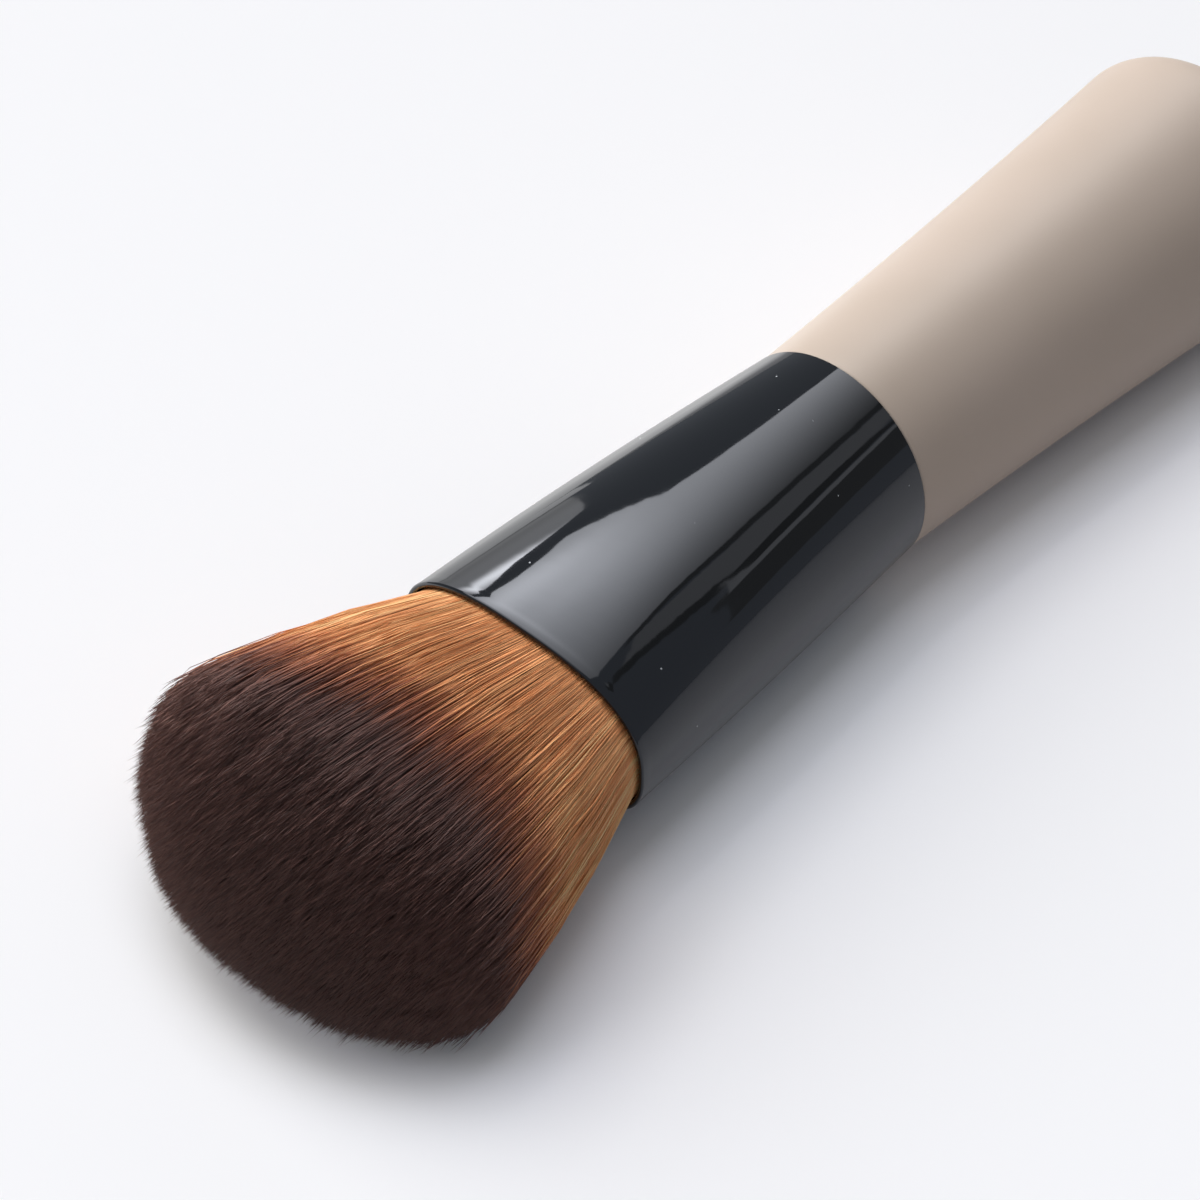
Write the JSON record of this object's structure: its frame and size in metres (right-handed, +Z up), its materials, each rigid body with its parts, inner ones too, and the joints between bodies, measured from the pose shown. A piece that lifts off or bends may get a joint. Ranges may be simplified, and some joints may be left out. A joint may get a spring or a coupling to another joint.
{
  "type": "foundation brush",
  "caption": "Short foundation brush lying on its side: domed two-tone hair, gloss black oval ferrule, beige flared handle.",
  "frame": {"origin": "centre of the brush's outline seen from above, on the surface it lies on", "axes": "+Z up, +Y along the brush from the hair to the handle's butt, the tuft's wide way along X"},
  "size_m": [0.0362, 0.1248, 0.026],
  "materials": {
    "beige_lacquer": "matte beige lacquer on turned wood",
    "gloss_black": "gloss black lacquer on drawn aluminium",
    "hair": "synthetic hair, orange at the root and dark brown at the tips",
    "resin": "cast resin",
    "thread": "white thread",
    "glue": "cured glue"
  },
  "bodies": {
    "root": {"handle": "beige_lacquer", "ferrule": "gloss_black", "tuft": "hair", "glue_plug": "resin", "root_binding": "thread", "tenon_glue": "glue"}
  },
  "joints": []
}
